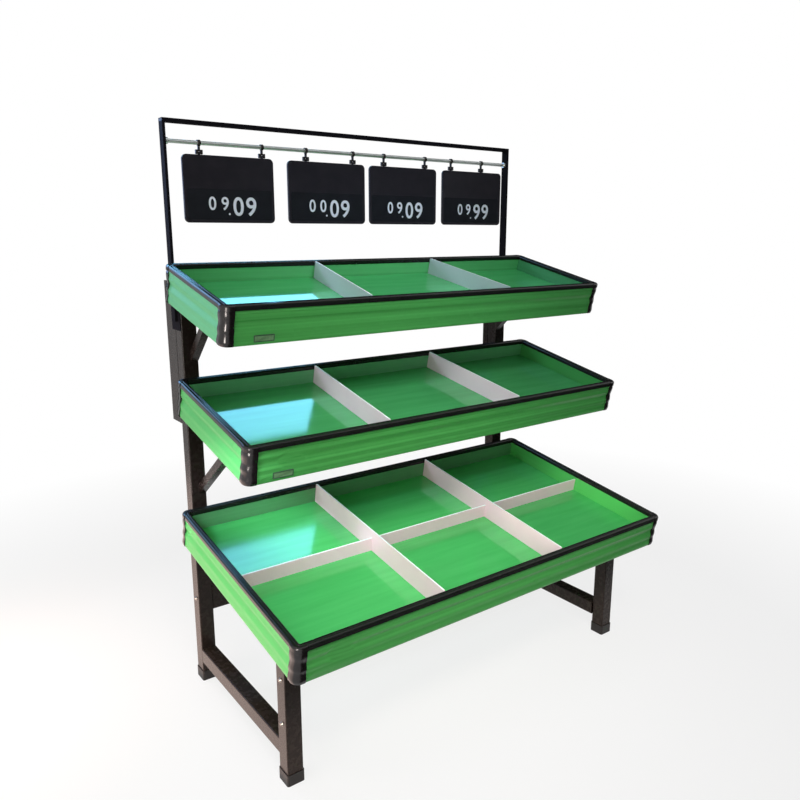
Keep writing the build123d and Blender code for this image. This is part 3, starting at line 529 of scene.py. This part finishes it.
for tray, (dull, bright) in DIVIDER_TONES_AND_SKY_TINT.items():
    divider_pvc, tree, shader, place = start_finish(f"white_pvc_painted_light_{tray}", 0.4, Specular_IOR_Level=0.4)
    cloud = add_node(tree, "ShaderNodeTexNoise", {"Vector": place, "Scale": per_metre(70), "Detail": 5.0})
    tone = add_node(tree, "ShaderNodeMix", {0: cloud.outputs[0], 6: linear(dull), 7: linear(bright)},
                    data_type="RGBA")
    normal = add_node(tree, "ShaderNodeTexCoord").outputs["Normal"]
    facing = add_node(tree, "ShaderNodeSeparateXYZ", {0: normal})
    # Painted highlight: faces that look up turn paler.
    edge = add_node(tree, "ShaderNodeMapRange", {"Value": facing.outputs["Z"],
                                                 "From Min": 0.8, "From Max": 0.95})
    colour = add_node(tree, "ShaderNodeMix", {0: edge.outputs[0], 6: tone.outputs[2], 7: linear(PAINTED_TOP_HIGHLIGHT)},
                      data_type="RGBA")
    tree.links.new(colour.outputs[2], shader.inputs["Base Color"])
    gloss = add_node(tree, "ShaderNodeMapRange", {"Value": cloud.outputs[0], "To Min": 0.3, "To Max": 0.5})
    tree.links.new(gloss.outputs[0], shader.inputs["Roughness"])
    wear([n for n in nodes if n.startswith(tray) and n.endswith("_divider")], divider_pvc)
print("dividers", [n for n in nodes if n.endswith("_divider")])

# %% [markdown]
# Now the pieces that the eye needs and the CAD leaves plain. They are modelled as by hand: a
# primitive is added, edit mode shapes it, and its place is put into its mesh. Edit mode works on what
# is selected, so one helper selects by place or normal, and another makes copies with their own mesh.

# %% Selecting and copying
FACING = 0.99


def choose(piece, kind, wanted):
    """Go into edit mode with those vertices, edges or polygons selected for which wanted is true."""
    bpy.ops.object.mode_set(mode="OBJECT")
    kinds = ("vertices", "edges", "polygons")
    bpy.context.tool_settings.mesh_select_mode = [kind == each for each in kinds]
    for each in kinds:
        group = getattr(piece.data, each)
        group.foreach_set("select", [each == kind and bool(wanted(item)) for item in group])
    bpy.ops.object.mode_set(mode="EDIT")


def ends(piece, edge):
    """The two end points of an edge."""
    return [piece.data.vertices[index].co for index in edge.vertices]


def depth_run(piece, edge):
    """How far an edge runs from front to back."""
    one, other = ends(piece, edge)
    return abs(one.y - other.y)


def faces_front(face):
    """True for a face that looks to the front, which is -Y."""
    return face.normal.y < -FACING


def take(*pieces):
    """Leave edit mode and select these pieces alone, the first one active."""
    if bpy.context.mode != "OBJECT":
        bpy.ops.object.mode_set(mode="OBJECT")
    bpy.ops.object.select_all(action="DESELECT")
    for piece in pieces:
        piece.select_set(True)
    bpy.context.view_layer.objects.active = pieces[0]


def copy_at(piece, name, shift):
    """A copy with a mesh of its own, moved by a shift that goes into the mesh."""
    twin = piece.copy()
    twin.data = piece.data.copy()
    twin.name = name
    scene.collection.objects.link(twin)
    take(twin)
    twin.location = shift
    bpy.ops.object.transform_apply(location=True, rotation=True, scale=True)
    return twin


print("a face is a front face within", round(math.degrees(math.acos(FACING))), "degrees")

# %% [markdown]
# A price board is a moulded ABS tray with rounded corners and a raised border. A box is stretched to
# the size of the CAD board, its four upright corners are bevelled round, the front and back edges get
# a small break, and the front face is inset and sunk. One panel is made, and the four boards copy it.

# %% Price board panel
PANEL_CORNER = 0.012
PANEL_BREAK = 0.001
BORDER = 0.0055
SUNK = 0.0011
LARGE_FACE = 0.01
TINY = 1e-5
LUG_RADIUS = 0.0034
PIN_RISE = 0.004
BOARDS = ("first", "second", "third", "fourth")

low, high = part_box("first_price_board")
pin_height = high.z - LUG_RADIUS
board_top = pin_height - PIN_RISE
panel_size = Vector((high.x - low.x, high.y - low.y, board_top - low.z))
bpy.ops.mesh.primitive_cube_add(size=1.0, location=(0, 0, 0))
panel = bpy.context.object
panel.name = "board_panel"
bpy.ops.transform.resize(value=panel_size)
bpy.ops.object.transform_apply(location=True, rotation=True, scale=True)
half_thick = panel_size.y / 2
choose(panel, "edges", lambda edge: depth_run(panel, edge) > half_thick)
bpy.ops.mesh.bevel(offset=PANEL_CORNER, segments=8, affect="EDGES")
choose(panel, "edges", lambda edge: depth_run(panel, edge) < TINY
       and abs(abs(ends(panel, edge)[0].y) - half_thick) < TINY)
bpy.ops.mesh.bevel(offset=PANEL_BREAK, segments=3, affect="EDGES")
choose(panel, "polygons", lambda face: faces_front(face) and face.area > LARGE_FACE)
bpy.ops.mesh.inset(thickness=BORDER, depth=-SUNK)
take(panel)
bpy.ops.object.shade_smooth_by_angle(angle=math.radians(30))
print("board panel", [round(v * 1000, 1) for v in panel_size], "mm")

# %% [markdown]
# Two eyes stand on the board's top edge, and the clip's pin goes through each. An eye is a short
# cylinder on its side. Both ends are inset, the two inner faces are bridged into a hole, and its
# underside is drawn down to make the stem.

# %% Eyes for the clips
LUG_WIDTH = 0.005
PIN_HOLE = 0.00165
CLIP_HALF = 0.0089

bpy.ops.mesh.primitive_cylinder_add(vertices=32, radius=LUG_RADIUS, depth=LUG_WIDTH, location=(0, 0, 0),
                                    rotation=(0, math.radians(90), 0))
eye = bpy.context.object
eye.name = "board_eye"
bpy.ops.object.transform_apply(location=True, rotation=True, scale=True)
choose(eye, "polygons", lambda face: abs(face.normal.x) > 0.9)
bpy.ops.mesh.inset(thickness=LUG_RADIUS - PIN_HOLE)
bpy.ops.mesh.bridge_edge_loops()
choose(eye, "polygons", lambda face: face.normal.z < -0.7 and face.center.z < -PIN_HOLE * 1.5)
bpy.ops.mesh.extrude_region_move(TRANSFORM_OT_translate={"value": (0, 0, -PIN_RISE)})
take(eye)
bpy.ops.object.shade_smooth_by_angle(angle=math.radians(40))
print("eye with", len(eye.data.polygons), "faces")

# %% [markdown]
# The lower part of the board is a glossy window that carries the numbers. It is a thin acrylic sheet
# with rounded corners and a small break along its edge, glued into the sunk face, a little below the
# border.

# %% Number window
WINDOW_SHARE = 0.455
WINDOW_THICK = 0.0006
WINDOW_CORNER = 0.005
WINDOW_GAP = 0.0025
WINDOW_EDGE = 0.0004
WINDOW_RISE = 0.0001

sunk_face = -half_thick + SUNK
window_inset = BORDER + WINDOW_GAP
window_size = Vector((panel_size.x - 2 * window_inset, WINDOW_THICK, panel_size.z * WINDOW_SHARE))
window_low = -panel_size.z / 2 + window_inset
bpy.ops.mesh.primitive_cube_add(size=1.0, location=(0, 0, 0))
window = bpy.context.object
window.name = "board_window"
bpy.ops.transform.resize(value=window_size)
bpy.ops.transform.translate(value=(0, sunk_face - WINDOW_THICK / 2, window_low + window_size.z / 2))
bpy.ops.object.transform_apply(location=True, rotation=True, scale=True)
choose(window, "edges", lambda edge: depth_run(window, edge) > WINDOW_THICK / 2)
bpy.ops.mesh.bevel(offset=WINDOW_CORNER, segments=6, affect="EDGES")
choose(window, "polygons", faces_front)
bpy.ops.mesh.inset(thickness=WINDOW_EDGE, depth=0.0)
bpy.ops.transform.translate(value=(0, -WINDOW_RISE, 0))
take(window)
print("window", [round(v * 1000, 1) for v in window_size], "mm")

# %% [markdown]
# The price is set with plain digits: two small ones, a point and two big ones. Each digit is typed as
# text, which starts out far too thick, made a mesh, stood up, and scaled in all three directions to fit
# its field on the board. A little weight is added to the strokes, as a printed number has.

# %% Digits
DIGIT_START = 0.5
DIGIT_RAISE = 0.0003
DIGIT_BOLD = 0.014
# left, low, width and height of each field, from the panel's lower left corner
FIELDS = {"small_left": (0.0625, 0.031, 0.0195, 0.033), "small_right": (0.0965, 0.031, 0.0195, 0.033),
          "point": (0.1145, 0.0195, 0.005, 0.005), "big_left": (0.128, 0.0175, 0.0285, 0.047),
          "big_right": (0.1635, 0.0175, 0.0285, 0.047)}
PRICES = {"first": "09.09", "second": "00.09", "third": "09.09", "fourth": "09.99"}
digit_back = sunk_face - WINDOW_THICK - WINDOW_RISE


def raised_mark(mark, field):
    """One typed mark as a thin raised mesh that fills a field of the panel."""
    left, bottom, width, height = FIELDS[field]
    bpy.ops.object.select_all(action="DESELECT")
    bpy.ops.object.text_add(location=(0, 0, 0))
    piece = bpy.context.object
    piece.data.body = mark
    piece.data.extrude = DIGIT_START
    piece.data.offset = DIGIT_BOLD
    bpy.ops.object.convert(target="MESH")
    piece = bpy.context.object
    piece.rotation_euler = (math.radians(90), 0, 0)
    bpy.ops.object.transform_apply(location=True, rotation=True, scale=True)
    corner = [min(v.co[axis] for v in piece.data.vertices) for axis in range(3)]
    reach = [max(v.co[axis] for v in piece.data.vertices) for axis in range(3)]
    fit = [size / (far - near) for size, near, far in zip((width, DIGIT_RAISE, height), corner, reach)]
    goal = (left - panel_size.x / 2, digit_back - DIGIT_RAISE, bottom - panel_size.z / 2)
    piece.scale = fit
    piece.location = [place - near * size for place, near, size in zip(goal, corner, fit)]
    bpy.ops.object.transform_apply(location=True, rotation=True, scale=True)
    return piece


print("fields", list(FIELDS))

# %% [markdown]
# The finishes of the board: its body is the black ABS from above, the window is smooth black acrylic,
# and the digits are printed in a pale grey ink that has lost some of its white.

# %% Window and ink
acrylic = black_plastic("black_acrylic_window", "#212226", "#292A2F", roughness=0.2, specular=0.16,
                        grain_mm=60, grain_bump=0.02)

ink, tree, shader, place = start_finish("pale_grey_ink", 0.5, Specular_IOR_Level=0.25)
fade = add_node(tree, "ShaderNodeTexNoise", {"Vector": place, "Scale": per_metre(6), "Detail": 4.0})
tone = add_node(tree, "ShaderNodeMix", {0: fade.outputs[0], 6: linear("#E4E9F4"), 7: linear("#F6F9FF")},
                data_type="RGBA")
tree.links.new(tone.outputs[2], shader.inputs["Base Color"])
panel.data.materials.append(board_abs)
eye.data.materials.append(board_abs)
window.data.materials.append(acrylic)
print("finishes", acrylic.name, ink.name)

# %% [markdown]
# Each board is put together at the place of its CAD node: a copy of the panel, an eye at each clip,
# the window and the digits. They turn with the board about the clip pins.

# %% Four price boards
for board in BOARDS:
    low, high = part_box(f"{board}_price_board")
    clips_low, clips_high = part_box(f"{board}_board_clips")
    middle = Vector(((low.x + high.x) / 2, (low.y + high.y) / 2, (low.z + board_top) / 2))
    body = copy_at(panel, f"{board}_board_moulding", middle)
    eyes = [copy_at(eye, f"{board}_eye", (x, middle.y, pin_height))
            for x in (clips_low.x + CLIP_HALF, clips_high.x - CLIP_HALF)]
    take(body, *eyes)
    bpy.ops.object.join()
    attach(body, f"{board}_board")
    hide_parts(f"{board}_price_board")
    glass = copy_at(window, f"{board}_board_window", middle)
    marks = [raised_mark(mark, field) for mark, field in zip(PRICES[board], FIELDS)]
    take(*marks)
    bpy.ops.object.join()
    number = bpy.context.object
    number.name = f"{board}_board_digits"
    number.location = middle
    bpy.ops.object.transform_apply(location=True, rotation=True, scale=True)
    number.data.materials.clear()
    number.data.materials.append(ink)
    for piece in (glass, number):
        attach(piece, f"{board}_board")
take(panel, eye, window)
bpy.ops.object.delete()
print("price boards", [f"{board} {PRICES[board]}" for board in BOARDS])

# %% [markdown]
# The two upper trays carry a small blank label plate low on the front wall, near the left corner. It
# is a thin tinplate sheet with rounded corners and a raised border, painted green and weathered, with
# the border darker than the field. The wall's own points tell where its foot and its most forward line
# are, so that the plate lies on the wall and leans with it.

# %% Label plates
PLATE_SIZE = Vector((0.050, 0.0018, 0.016))
PLATE_UP = 0.0145
PLATE_CORNER = 0.002
PLATE_EDGE = 0.0004
PLATE_RISE = 0.0003
PLATE_BORDER = 0.0016
PLATE_X = {"top": -0.5005, "middle": -0.509}
PLATE_TONES = {"field": ("#527F55", "#74996F"), "border": ("#324F37", "#40624A")}

bpy.ops.object.select_all(action="DESELECT")
bpy.ops.mesh.primitive_cube_add(size=1.0, location=(0, 0, 0))
label = bpy.context.object
label.name = "label_plate"
bpy.ops.transform.resize(value=PLATE_SIZE)
bpy.ops.object.transform_apply(location=True, rotation=True, scale=True)
choose(label, "edges", lambda edge: depth_run(label, edge) > PLATE_SIZE.y / 2)
bpy.ops.mesh.bevel(offset=PLATE_CORNER, segments=5, affect="EDGES")
choose(label, "polygons", faces_front)
bpy.ops.mesh.inset(thickness=PLATE_EDGE, depth=PLATE_RISE)
bpy.ops.mesh.inset(thickness=PLATE_BORDER)
bpy.ops.mesh.inset(thickness=PLATE_EDGE, depth=-PLATE_RISE)
take(label)
field = max(label.data.polygons, key=lambda face: face.area * faces_front(face))
for face in label.data.polygons:
    face.material_index = int(face.index != field.index)

for part, (dull, bright) in PLATE_TONES.items():
    tinplate, tree, shader, place = start_finish(f"weathered_tinplate_{part}", 0.5, Specular_IOR_Level=0.2)
    stain = add_node(tree, "ShaderNodeTexNoise", {"Vector": place, "Scale": per_metre(5), "Detail": 5.0})
    tone = add_node(tree, "ShaderNodeMix", {0: stain.outputs[0], 6: linear(dull), 7: linear(bright)},
                    data_type="RGBA")
    tree.links.new(tone.outputs[2], shader.inputs["Base Color"])
    bump = add_node(tree, "ShaderNodeBump", {"Height": stain.outputs[0], "Strength": 0.2,
                                             "Distance": 0.0003})
    tree.links.new(bump.outputs[0], shader.inputs["Normal"])
    label.data.materials.append(tinplate)

for tray, x in PLATE_X.items():
    lean = math.radians(SLOPES[tray])
    outward = Vector((0, -math.cos(lean), -math.sin(lean)))
    upward = Vector((0, -math.sin(lean), math.cos(lean)))
    points = [vertex.co for vertex in nodes[f"{tray}_tray_front_wall"].data.vertices]
    crest = max(point.dot(outward) for point in points)
    foot = min(point.dot(upward) for point in points)
    plate = label.copy()
    plate.data = label.data.copy()
    plate.name = f"{tray}_label_plate"
    scene.collection.objects.link(plate)
    take(plate)
    plate.rotation_euler = (lean, 0, 0)
    plate.location = Vector((x, 0, 0)) + outward * (crest - PLATE_SIZE.y / 4) + upward * (foot + PLATE_UP)
    bpy.ops.object.transform_apply(location=True, rotation=True, scale=True)
    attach(plate, "rack")
take(label)
bpy.ops.object.delete()
print("label plates on", list(PLATE_X))
